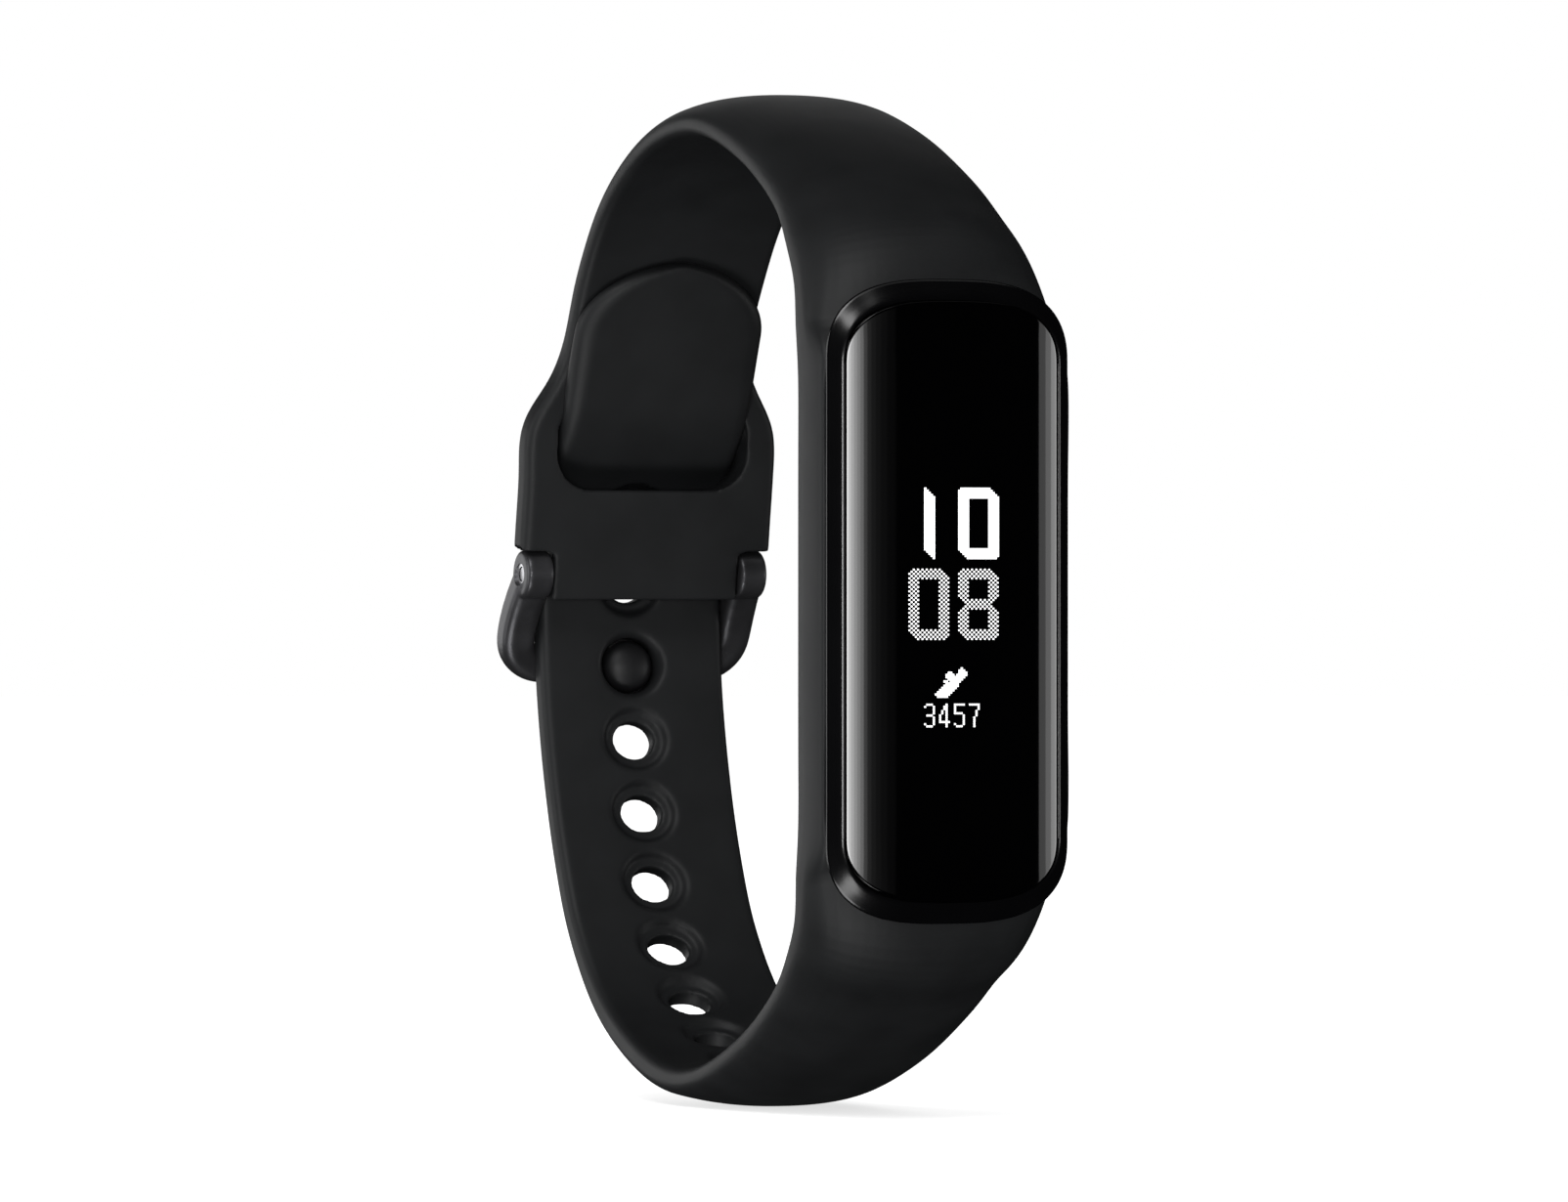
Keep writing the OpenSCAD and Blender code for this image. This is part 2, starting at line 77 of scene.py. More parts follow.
LOWER = [
    (-24.0, 2.00, 17.05, 5.50, 0.00, 1.80, 2.90, 0.40, 2.50),
    (-24.0, -7.0, 17.05, 5.50, 0.00, 1.80, 2.90, 0.40, 2.50),
    (-24.0, -14., 17.05, 5.50, 0.00, 1.80, 2.90, 0.40, 2.50),
    (-23.8, -17., 16.65, 4.80, 0.90, 1.20, 1.80, 0.70, 2.20),
    (-23.1, -19.4, 15.60, 3.10, 2.40, 0.70, 1.00, 1.20, 1.60),
    (-20.81, -21.59, 14.54, 2.20, 2.20, 0.50, 0.70, 1.10, 1.20),
    (-17.49, -24.22, 13.78, 1.80, 1.80, 0.50, 0.60, 1.00, 1.00),
    (-10.90, -27.41, 13.21, 1.75, 1.30, 0.50, 0.60, 0.90, 0.90),
    (-2.40, -29.81, 12.94, 1.75, 0.85, 0.50, 0.60, 0.90, 0.90),
    (4.78, -29.38, 12.90, 1.90, 0.30, 0.50, 0.60, 0.80, 0.80),
    (12.69, -26.15, 12.90, 1.90, 0.00, 0.50, 0.60, 0.60, 0.60),
    (17.79, -21.49, 12.90, 1.90, 0.00, 0.50, 0.60, 0.60, 0.60),
    (20.50, -16.75, 12.90, 1.90, 0.00, 0.50, 0.60, 0.60, 0.60),
    (22.42, -11.67, 12.90, 1.90, 0.00, 0.50, 0.60, 0.60, 0.60),
    (23.71, -6.49, 12.90, 1.90, 0.00, 0.50, 0.60, 0.60, 0.60),
    (24.25, -2.00, 12.90, 1.90, 0.00, 0.50, 0.60, 0.60, 0.60),
    (24.30, 2.00, 12.90, 1.90, 0.00, 0.50, 0.60, 0.60, 0.60),
    (24.0, 5.40, 12.90, 1.90, 0.00, 0.50, 0.60, 0.60, 0.60),
    (22.9, 8.00, 12.90, 1.90, 0.00, 0.60, 0.70, 0.60, 0.60),
    (20.9, 10.0, 12.90, 1.90, 0.00, 0.80, 0.80, 0.60, 0.60),
    (19.1, 12.3, 13.00, 1.75, 0.00, 1.00, 0.90, 0.60, 0.50),
    (17.9, 15.0, 13.10, 1.55, 0.00, 1.20, 0.90, 0.50, 0.40),
    (16.9, 17.3, 13.10, 1.45, 0.00, 1.20, 0.90, 0.50, 0.40),
    (16.0, 19.2, 13.10, 1.35, 0.00, 1.20, 0.80, 0.50, 0.40),
    (15.4, 20.4, 13.10, 1.25, 0.00, 1.20, 0.75, 0.50, 0.40),
    (14.65, 21.95, 13.10, 1.20, 0.00, 1.20, 0.70, 0.50, 0.40)]
AXIS_Y, AXIS_Z = 22.8, 1.8  # spring bar, on which the buckle turns
PEG_Z = -4.2
PITCH = 5.0  # between two holes
HOLES = 10
HELD = 2  # number of the hole that holds the peg, counted from 0 at the tail's tip
PER_SPAN = 12


def curve(st, n=PER_SPAN):
    """Smooth curve through the stations, the same as in the CAD source."""
    p = np.array(st, float)
    out = []
    for i in range(len(p) - 1):
        a, b, c, d = p[max(i - 1, 0)], p[i], p[i + 1], p[min(i + 2, len(p) - 1)]
        for k in range(n):
            t = k / n
            out.append(0.5 * (2 * b + (c - a) * t + (2 * a - 5 * b + 4 * c - d) * t * t
                              + (3 * b - a - 3 * c + d) * t ** 3))
    out.append(p[-1])
    return np.array(out)


def arc_length(c):
    return np.r_[0, np.cumsum(np.hypot(np.diff(c[:, 0]), np.diff(c[:, 1])))]


def relax(c, step, sigma):
    """Even rings along the path, with every column smoothed over sigma mm."""
    s = arc_length(c)
    n = int(s[-1] / step)
    t = np.linspace(0, s[-1], n + 1)
    e = np.stack([np.interp(t, s, c[:, j]) for j in range(c.shape[1])], 1)
    k = int(3 * sigma / step) + 1
    w = np.exp(-0.5 * (np.arange(-k, k + 1) * step / sigma) ** 2)
    w /= w.sum()
    pad = np.concatenate([2 * e[0] - e[k:0:-1], e, 2 * e[-1] - e[-2:-k - 2:-1]])
    return np.stack([np.convolve(pad[:, j], w, "valid") for j in range(e.shape[1])], 1)


def section(s):
    """Cross-section as (x, outward) pairs, counter-clockwise from the inner centre."""
    # h half width, t edge thickness, c crown, a and b inner rounding, p and q outer rounding
    h, t, c, a, b, p, q = s[2] / 2, s[3], s[4], s[5], s[6], s[7], s[8]
    half = [(x, 0.0) for x in np.linspace(0, h - a, 6)[:-1]]
    for f in np.linspace(0, math.pi / 2, 7):
        half.append((h - a + a * math.sin(f), b - b * math.cos(f)))
    for y in np.linspace(b, max(t - q, b + 0.05), 4)[1:]:
        half.append((h, y))
    y0 = max(t - q, b + 0.05)
    w = min(max((c - 0.1) / 0.9, 0), 1)
    w = w * w * (3 - 2 * w)
    xs = [h - p + p * math.cos(f) for f in np.linspace(0, math.pi / 2, 9)[1:]]
    xs += list(np.linspace(h - p, 0, 11)[1:])
    for x in xs:
        u = x / h
        if x > h - p:
            flat = y0 + (t - y0) * math.sqrt(max(1 - ((x - h + p) / p) ** 2, 0))
        else:
            flat = t
        flat += c * (1 - u * u)
        dome = y0 + (t + c - y0) * math.sqrt(max(1 - u ** 2.3, 0))
        half.append((x, flat * (1 - w) + dome * w))
    return half + [(-x, y) for x, y in half[-2:0:-1]]


def new_mesh(name, verts, faces):
    me = bpy.data.meshes.new(name)
    me.from_pydata([tuple(v) for v in verts], [], faces)
    me.validate()
    me.update()
    ob = bpy.data.objects.new(name, me)
    bpy.context.scene.collection.objects.link(ob)
    return ob


def skin(rings, per_ring):
    """Quads between neighbouring rings of per_ring points each."""
    m = per_ring
    return [(i * m + j, i * m + (j + 1) % m, (i + 1) * m + (j + 1) % m, (i + 1) * m + j)
            for i in range(rings - 1) for j in range(m)]


def end_caps(rings, per_ring):
    last = (rings - 1) * per_ring
    return [tuple(range(per_ring - 1, -1, -1)), tuple(last + j for j in range(per_ring))]


def round_end(e, reach, power=1.22):
    """Turns the last stretch of the path into a rounded tongue end."""
    s = arc_length(e)
    body = e[s < s[-1] - reach]
    tip = []
    for f in np.linspace(0, math.pi / 2, 22)[:-1]:
        v = s[-1] - reach + reach * math.sin(f)
        row = np.array([np.interp(v, s, e[:, j]) for j in range(e.shape[1])])
        row[2] *= math.cos(f) ** power
        row[5] = min(row[5], row[2] * 0.45)
        row[7] = min(row[7], row[2] * 0.45)
        row[3] *= 0.75 + 0.25 * math.cos(f)
        tip.append(row)
    return np.concatenate([body, tip])


def sweep(name, st, step=0.45, sigma=0.9, tongue=0):
    """Band through the stations; tongue is the length of its rounded end."""
    e = relax(curve(st), step, sigma)
    if tongue:
        e = round_end(e, tongue)
    d = np.gradient(e[:, :2], axis=0)
    d /= np.linalg.norm(d, axis=1)[:, None]
    nrm = np.c_[d[:, 1], -d[:, 0]]
    verts, m = [], 0
    for s, n in zip(e, nrm):
        ring = section(s)
        m = len(ring)
        verts += [(x, s[0] + n[0] * y, s[1] + n[1] * y) for x, y in ring]
    return new_mesh(name, verts, skin(len(e), m) + end_caps(len(e), m))


def outline(hw, hh, cz, p=3.0, q=2.4, n=20):
    """Rounded outline of the tracker: straight sides, softly arched ends (x, z)."""
    pts = []
    for i in range(n + 1):
        f = math.pi / 2 * i / n
        pts.append((hw * math.cos(f) ** (2 / p), hh - cz + cz * math.sin(f) ** (2 / q)))
    top = pts + [(-x, z) for x, z in pts[-2::-1]]
    return top + [(-x, -z) for x, z in top]


def loft(name, rings, caps=True):
    """Skin through rings of the same number of points, capped or closed from the last to the first."""
    m = len(rings[0])
    verts = [p for r in rings for p in r]
    faces = skin(len(rings), m)
    if caps:
        faces += end_caps(len(rings), m)
    else:
        k = len(rings) - 1
        faces += [(k * m + j, k * m + (j + 1) % m, (j + 1) % m, j) for j in range(m)]
    return new_mesh(name, verts, faces)


def slab(name, hw, hh, cz, y0, y1):
    """Block with the tracker's outline between two levels of y."""
    o = outline(hw, hh, cz)
    return loft(name, [[(x, y, z) for x, z in o] for y in (y0, y1)])


def rounded(w, h, r, n=8):
    """Rectangle w by h with corner radius r, as (x, z) pairs."""
    pts = []
    for k, (sx, sz) in enumerate(((1, 1), (-1, 1), (-1, -1), (1, -1))):
        for i in range(n + 1):
            f = math.pi / 2 * (k + i / n)
            pts.append((sx * (w / 2 - r) + r * math.cos(f), sz * (h / 2 - r) + r * math.sin(f)))
    return pts


def lathe(name, profile, place, n=48):
    """Turned solid: profile of (radius, height) along the local axis of matrix place."""
    return oval(name, [(r, r, h) for r, h in profile], place, n)


def oval(name, profile, place, n=48):
    """Like lathe, from rows of (radius along X, radius along Y, height)."""
    turns = [2 * math.pi * i / n for i in range(n)]
    rings = [[place @ Vector((rx * math.cos(f), ry * math.sin(f), h)) for f in turns]
             for rx, ry, h in profile]
    return loft(name, rings)


def tidy_normals(ob):
    bm = bmesh.new()
    bm.from_mesh(ob.data)
    bmesh.ops.recalc_face_normals(bm, faces=bm.faces)
    bm.to_mesh(ob.data)
    bm.free()


def apply_all(ob):
    """Bakes the modifiers into the mesh."""
    dg = bpy.context.evaluated_depsgraph_get()
    me = bpy.data.meshes.new_from_object(ob.evaluated_get(dg))
    ob.modifiers.clear()
    ob.data = me


def cut(ob, tool, how="DIFFERENCE"):
    """Cuts the tool out of the object, or joins it on with how="UNION"."""
    tidy_normals(tool)
    m = ob.modifiers.new("cut", "BOOLEAN")
    m.operation = how
    m.object = tool
    m.solver = "EXACT"
    apply_all(ob)
    bpy.data.objects.remove(tool)


def soften(ob, voxel, rounds):
    """Even skin with soft edges, as moulded silicone or cast metal has."""
    m = ob.modifiers.new("skin", "REMESH")
    m.mode = "VOXEL"
    m.voxel_size = voxel
    m.use_smooth_shade = True
    s = ob.modifiers.new("soft", "SMOOTH")
    s.factor = 0.5
    s.iterations = rounds
    apply_all(ob)


def finish_piece(ob, body, mat, replaces=(), smooth=True, angle=None):
    """Scales the piece to metres, gives it its look and hangs it on its body of the frame."""
    ob.data.transform(Matrix.Scale(MM, 4))
    for p in ob.data.polygons:
        p.use_smooth = smooth
    if angle:
        ob.data.set_sharp_from_angle(angle=math.radians(angle))
    ob.data.materials.clear()
    ob.data.materials.append(mat)
    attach(ob, body)
    if replaces:
        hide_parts(*replaces)
    return ob


# ---------------------------------------------------------------- materials
GRAIN_HEIGHT = 0.01 * MM


def material(name, color, rough, metal=0.0, spec=0.5, grain=0.0, grain_scale=9000.0,
             vary=0.25, rough_vary=0.06, vary_scale=260.0):
    """Principled material whose colour, gloss and fine grain vary over the surface."""
    m = bpy.data.materials.new(name)
    m.use_nodes = True
    nt = m.node_tree
    bs = nt.nodes["Principled BSDF"]
    bs.inputs["Metallic"].default_value = metal
    bs.inputs["Specular IOR Level"].default_value = spec
    co = nt.nodes.new("ShaderNodeTexCoord")
    no = nt.nodes.new("ShaderNodeTexNoise")
    no.inputs["Scale"].default_value = vary_scale
    no.inputs["Detail"].default_value = 4
    nt.links.new(co.outputs["Object"], no.inputs["Vector"])
    ramp = nt.nodes.new("ShaderNodeValToRGB")
    ramp.color_ramp.elements[0].position = 0.3
    ramp.color_ramp.elements[1].position = 0.7
    ramp.color_ramp.elements[0].color = [c * (1 - vary) for c in color] + [1]
    ramp.color_ramp.elements[1].color = [min(c * (1 + vary), 1) for c in color] + [1]
    nt.links.new(no.outputs["Fac"], ramp.inputs["Fac"])
    nt.links.new(ramp.outputs["Color"], bs.inputs["Base Color"])
    mr = nt.nodes.new("ShaderNodeMapRange")
    mr.inputs["To Min"].default_value = max(rough - rough_vary, 0.01)
    mr.inputs["To Max"].default_value = min(rough + rough_vary, 1)
    nt.links.new(no.outputs["Fac"], mr.inputs["Value"])
    nt.links.new(mr.outputs["Result"], bs.inputs["Roughness"])
    if grain:
        g = nt.nodes.new("ShaderNodeTexNoise")
        g.inputs["Scale"].default_value = grain_scale
        g.inputs["Detail"].default_value = 3
        nt.links.new(co.outputs["Object"], g.inputs["Vector"])
        b = nt.nodes.new("ShaderNodeBump")
        b.inputs["Strength"].default_value = grain
        b.inputs["Distance"].default_value = GRAIN_HEIGHT
        nt.links.new(g.outputs["Fac"], b.inputs["Height"])
        nt.links.new(b.outputs["Normal"], bs.inputs["Normal"])
    return m


SILICONE = material("silicone", (0.0078, 0.0084, 0.0092), 0.55, spec=0.34, grain=0.35,
                    grain_scale=7000, vary=0.12)
BUCKLE = material("buckle_metal", (0.075, 0.075, 0.08), 0.4, metal=0.8, grain=0.5, vary=0.3,
                  rough_vary=0.08)
PEG = material("peg_metal", (0.007, 0.007, 0.008), 0.5, spec=0.4, vary=0.1, rough_vary=0.02)
STEEL = material("spring_steel", (0.7, 0.7, 0.72), 0.32, metal=1.0, grain=0.2, vary=0.08)
GLOSS = material("bezel_gloss", (0.0015, 0.0015, 0.0018), 0.19, vary=0.1, rough_vary=0.02)
GLASS = material("cover_glass", (0.0004, 0.0004, 0.0005), 0.06, vary=0.1, rough_vary=0.01)
REAR = material("rear_cover", (0.012, 0.012, 0.013), 0.34, grain=0.2, vary=0.12)
LENS = material("sensor_lens", (0.006, 0.006, 0.008), 0.05, vary=0.1, rough_vary=0.01)
GOLD = material("gold_contact", (0.8, 0.56, 0.22), 0.2, metal=1.0, grain=0.15, vary=0.06)
BOARD = material("board_green", (0.02, 0.11, 0.05), 0.4, grain=0.3, vary=0.25)
CHIP = material("chip_black", (0.02, 0.02, 0.022), 0.55, grain=0.4, vary=0.15)
SHIELD = material("shield_steel", (0.6, 0.6, 0.61), 0.32, metal=1.0, grain=0.3, vary=0.08)
FOIL = material("battery_foil", (0.55, 0.56, 0.58), 0.35, metal=0.9, grain=0.3, vary=0.1)
AMBER = material("flex_amber", (0.5, 0.24, 0.05), 0.35, grain=0.2, vary=0.15)
FRAME_P = material("frame_plastic", (0.06, 0.06, 0.065), 0.5, grain=0.3, vary=0.12)
SEAL = material("seal_rubber", (0.03, 0.03, 0.045), 0.6, grain=0.3, vary=0.15)
TAPE = material("tape_foam", (0.04, 0.04, 0.04), 0.75, grain=0.6, vary=0.2)
COPPER = material("antenna_copper", (0.7, 0.36, 0.16), 0.3, metal=1.0, grain=0.2, vary=0.1)
WEIGHT = material("rotor_weight", (0.35, 0.35, 0.37), 0.4, metal=1.0, grain=0.3, vary=0.1)
DIODE = material("photodiode", (0.03, 0.03, 0.06), 0.15, vary=0.15)
LED = material("led", (0.6, 0.8, 0.45), 0.25, vary=0.1)
PANEL = material("panel", (0.008, 0.008, 0.01), 0.2, vary=0.15)
CAD_LOOKS = {
    "spring_bar_tube": STEEL, "spring_bar_tip_left": STEEL, "spring_bar_tip_right": STEEL,
    "spring_bar_spring": STEEL, "oled_panel": PANEL, "display_flex": AMBER, "mid_frame": FRAME_P,
    "main_board": BOARD, "board_screws": STEEL, "board_shield": SHIELD, "processor_chip": CHIP,
    "radio_chip": CHIP, "memory_chip": CHIP, "accelerometer_chip": CHIP, "battery_cell": FOIL,
    "battery_tape": TAPE, "motor_case": SHIELD, "motor_rotor": WEIGHT, "ppg_board": BOARD,
    "ppg_photodiode": DIODE, "ppg_leds": LED, "charge_pins": GOLD, "pogo_springs": GOLD,
    "case_seal": SEAL, "antenna": COPPER}
for node, mat in CAD_LOOKS.items():
    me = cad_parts[node].data
    me.materials.clear()
    me.materials.append(mat)

# ---------------------------------------------------------------- strap
TAIL = curve(LOWER)
TAIL_S = arc_length(TAIL)
# the stretch of the tail between stations 14 and 16, on which the peg lies
rise = slice(14 * PER_SPAN, 16 * PER_SPAN + 1)
PEG_S = np.interp(PEG_Z, TAIL[rise, 1], TAIL_S[rise])


def on_tail(s):
    """Frame at arc length s on the tail's inner face: local Z points out of the band."""
    def at(v):
        return np.array([np.interp(v, TAIL_S, TAIL[:, 0]), np.interp(v, TAIL_S, TAIL[:, 1])])
    d = at(s + 0.3) - at(s - 0.3)
    d /= np.linalg.norm(d)
    y, z = at(s)
    m = Matrix.Identity(4)
    m.col[0][:3] = (1, 0, 0)
    m.col[1][:3] = (0, -d[0], -d[1])
    m.col[2][:3] = (0, d[1], -d[0])
    m.col[3][:3] = (0, y, z)
    return m


def turn_x():
    """Turns the local axis of a lathe to the world's X."""
    m = Matrix.Identity(4)
    m.col[0][:3] = (0, 1, 0)
    m.col[1][:3] = (0, 0, 1)
    m.col[2][:3] = (1, 0, 0)
    return m


AXLE = Matrix.Translation((0, AXIS_Y, AXIS_Z)) @ turn_x()
VOXEL, STRAP_ROUNDS = ((0.14, 5))
BUCKLE_VOXEL, BUCKLE_ROUNDS = 0.09, 8


def tracker_cuts(ob):
    """Room in the cradle for the bezel, the body and the sensor side of the tracker."""
    cut(ob, slab("seat", 8.2, 20.05, 5.1, -29.40, -35))
    cut(ob, slab("pocket", 7.4, 19.4, 5.2, -24.7, -35))
    cut(ob, slab("lip", 6.6, 17.5, 4.2, -20, -26))


upper = sweep("band_upper", UPPER)
tracker_cuts(upper)
WINDOW_Z, WINDOW_H, WINDOW_R = 10.3, 5.9, 2.4
WINDOW_WIDTHS = [(13.6, 15), (13.4, 21), (13.0, 22), (13.0, 30)]  # width at y
cut(upper, loft("window", [[(x, y, z + WINDOW_Z) for x, z in rounded(w, WINDOW_H, WINDOW_R)]
                          for w, y in WINDOW_WIDTHS]))
NOTCH_X, NOTCH_Z, NOTCH_W, NOTCH_H, NOTCH_R = 10.5, 0.15, 8, 6.3, 0.8
ARM_ROOM_R = 1.85
for s in (-1, 1):
    notch = rounded(NOTCH_W, NOTCH_H, NOTCH_R)
    cut(upper, loft("notch", [[(x + s * NOTCH_X, y, z + NOTCH_Z) for x, z in notch] for y in (18, 28)]))
    cut(upper, lathe("arm_room", [(ARM_ROOM_R, x) for x in sorted((s * 6.5, s * 9))], AXLE))
BORE_R = 0.8
cut(upper, lathe("bore", [(BORE_R, -9), (BORE_R, 9)], AXLE))
lower = sweep("band_lower", LOWER, tongue=5.2)
tracker_cuts(lower)
# rows of radius across, radius along and depth from the inner face
FREE_HOLE = [(2.42, 2.25, -1), (2.42, 2.25, 0), (2.2, 2.04, 0.1), (2.1, 1.94, 0.3),
             (2.0, 1.85, 0.42), (1.42, 1.26, 0.47), (1.42, 1.26, 1.58), (1.85, 1.7, 1.64),
             (2.0, 1.85, 1.75), (2.1, 1.95, 1.85), (2.3, 2.15, 1.9), (2.3, 2.15, 3)]
HELD_HOLE = [(2.4, 2.28, -1), (2.4, 2.28, 0), (2.22, 2.1, 0.1), (2.12, 2.0, 0.3),
             (2.0, 1.92, 0.5), (1.92, 1.88, 1.1), (1.92, 1.88, 3)]
FREE_ASIDE, HELD_ASIDE = -0.15, -0.06
ALONG = (-0.1, 0.35)  # the two holes above the held one lie a little off the pitch
for i in range(HOLES):
    held = i == HELD
    place = on_tail(PEG_S + (HELD - i) * PITCH + (ALONG[i] if i < HELD else 0))
    place = Matrix.Translation((HELD_ASIDE if held else FREE_ASIDE, 0, 0)) @ place
    cut(lower, oval("hole", HELD_HOLE if held else FREE_HOLE, place, 40))


def split_front(ob, side):
    """Cuts the tracker cradle at z = 0, so that both halves meet there."""
    cradle_back = -15
    bm = bmesh.new()
    bm.from_mesh(ob.data)
    front = [v for v in bm.verts if v.co.y < cradle_back]
    keep = set(front)
    geom = front + [e for e in bm.edges if all(v in keep for v in e.verts)]
    geom += [f for f in bm.faces if all(v in keep for v in f.verts)]
    bmesh.ops.bisect_plane(bm, geom=geom, plane_co=(0, 0, 0), plane_no=(0, 0, side),
                           clear_inner=True)
    bm.to_mesh(ob.data)
    bm.free()


def weld(target, other, reach):
    """Joins two halves and stitches their open edges."""
    bm = bmesh.new()
    bm.from_mesh(target.data)
    bm.from_mesh(other.data)
    rim = list({v for e in bm.edges if e.is_boundary for v in e.verts})
    bmesh.ops.remove_doubles(bm, verts=rim, dist=reach)
    bmesh.ops.holes_fill(bm, edges=[e for e in bm.edges if e.is_boundary], sides=8)
    bm.to_mesh(target.data)
    bm.free()
    bpy.data.objects.remove(other)


for half, side in ((upper, 1), (lower, -1)):
    soften(half, VOXEL, STRAP_ROUNDS)
    split_front(half, side)
weld(upper, lower, VOXEL * 0.45)
upper.name = "silicone_band"
finish_piece(upper, "band", SILICONE, ["strap"])

# ---------------------------------------------------------------- buckle
ARM = [(22.95, 1.65), (23.65, 0.95), (24.3, 0.3), (25.1, -0.75), (25.6, -1.7), (25.75, -2.1)]
KNUCKLE_X, SPLAY = 7.5, 0.18
BEND_X, BEND_Y, BEND_Z = 5.55, 25.8, -2.3
BAR_Y, BAR_Z = 26.74, -4.3
ARM_W, ARM_H = 2.28, 2.1
BAR_W, BAR_H = 2.2, 1.5


def buckle_path():
    """The U-shaped bar from knuckle to knuckle: x, y, z and blend from arm to crossbar."""
    pts = [(-KNUCKLE_X - SPLAY * min(k, 3) / 3, y, z, 0.0) for k, (y, z) in enumerate(ARM)]
    for f in np.linspace(0, math.pi / 2, 13)[1:]:
        c, q = math.cos(f), math.sin(f)
        pts.append((-BEND_X - (KNUCKLE_X + SPLAY - BEND_X) * c,
                    BEND_Y + (BAR_Y - BEND_Y) * q ** 0.8, BEND_Z + (BAR_Z - BEND_Z) * q, q * q))
    pts += [(x, BAR_Y, BAR_Z, 1.0) for x in np.linspace(-5.0, 0, 8)]
    half = np.array(pts)
    other = half[-2::-1] * (-1, 1, 1, 1)
    return np.concatenate([half, other])


def bent_bar(name):
    """Rounded bar along the smoothed path, flatter at the crossbar than at the arms."""
    path = buckle_path()
    for _ in range(3):
        path[1:-1] = (path[:-2] + 2 * path[1:-1] + path[2:]) / 4
    rings = []
    for i, row in enumerate(path):
        d = Vector((path[min(i + 1, len(path) - 1)] - path[max(i - 1, 0)])[:3]).normalized()
        face = (Vector((0, 1, 0)) - d * d.y).normalized()
        side = d.cross(face)
        t = row[3]
        w, h = ARM_W + (BAR_W - ARM_W) * t, ARM_H + (BAR_H - ARM_H) * t
        rings.append([tuple(Vector(row[:3]) + side * u + face * v)
                      for u, v in rounded(w, h, 0.62, 6)])
    return loft(name, rings)


# turned outlines, as rows of radius and distance from the middle
KNUCKLE = [(1.35, 6.62), (1.52, 6.7), (1.6, 6.85), (1.6, 8.25), (1.52, 8.42), (1.3, 8.5)]
SINK = [(0.8, 8.75), (0.72, 8.5), (0.69, 8.43), (0.5, 8.41)]
RING_X, RING_R = 8.3, 0.68

buckle = bent_bar("buckle")
tidy_normals(buckle)
for s in (-1, 1):
    cut(buckle, lathe("knuckle", [(r, s * x) for r, x in KNUCKLE], AXLE), "UNION")
soften(buckle, BUCKLE_VOXEL, BUCKLE_ROUNDS)
cut(buckle, lathe("tip_holes", [(r, -x) for r, x in SINK] + SINK[::-1], AXLE))
finish_piece(buckle, "buckle", BUCKLE, ["buckle_frame"], angle=38)
# the turned ring round each spring bar tip is bare steel
buckle.data.materials.append(STEEL)
for face in buckle.data.polygons:
    x, y, z = face.center / MM
    if abs(x) > RING_X and math.hypot(y - AXIS_Y, z - AXIS_Z) < RING_R:
        face.material_index = 1

# radius and depth from the tail's inner face: dome, shank, flange, root in the crossbar
PEG_PROFILE = [(0.02, 0.16), (0.4, 0.18), (0.8, 0.26), (1.12, 0.39), (1.38, 0.56), (1.57, 0.78),
               (1.68, 1.02), (1.73, 1.3), (1.73, 1.98), (2.0, 1.98), (2.0, 2.12), (0.8, 2.13),
               (0.8, 3.0)]
peg = lathe("peg", PEG_PROFILE, on_tail(PEG_S), 64)
tidy_normals(peg)
finish_piece(peg, "buckle", PEG, ["buckle_peg"], angle=50)


# ---------------------------------------------------------------- tracker shell
def stack(rows, n):
    """Outlines from rows of half width, half length, end arch and level y."""
    return [[(x, y, z) for x, z in outline(hw, hh, cz, n=n)] for hw, hh, cz, y in rows]


# a slanted rim between two small roundings
BEZEL = [(8.0, 19.85, 5.1, -29.46), (8.08, 19.93, 5.1, -29.50), (8.1, 19.95, 5.1, -29.56),
         (8.09, 19.935, 5.1, -29.63), (8.05, 19.88, 5.1, -29.69), (7.98, 19.78, 5.05, -29.75),
         (7.8, 19.52, 4.9, -29.9), (7.62, 19.26, 4.7, -30.05), (7.44, 19.0, 4.45, -30.2),
         (7.36, 18.88, 4.32, -30.26), (7.3, 18.79, 4.22, -30.3), (7.24, 18.71, 4.12, -30.325),
         (7.18, 18.63, 4.05, -30.33), (7.15, 18.6, 4.0, -30.3), (7.14, 18.59, 4.0, -30.2),
         (7.13, 18.58, 4.0, -29.93), (6.4, 17.7, 4.6, -29.93),
         (6.4, 17.7, 4.6, -29.22), (6.6, 18.6, 5.0, -29.2), (6.6, 18.6, 5.0, -26.52),
         (7.3, 19.3, 5.2, -26.52), (7.3, 19.3, 5.2, -29.45)]
bezel = loft("bezel", stack(BEZEL, 28), caps=False)
tidy_normals(bezel)
finish_piece(bezel, "tracker", GLOSS, ["front_bezel"], angle=50)

GLASS_W, GLASS_H, GLASS_ARCH, CROWN_Y = 7.1, 18.55, 3.95, -30.985
EDGE_DROP = 0.66


def glass_y(x):
    """Front of the glass: flat in the middle, curving ever more towards both long edges."""
    return CROWN_Y + EDGE_DROP * (abs(x) / GLASS_W) ** 5


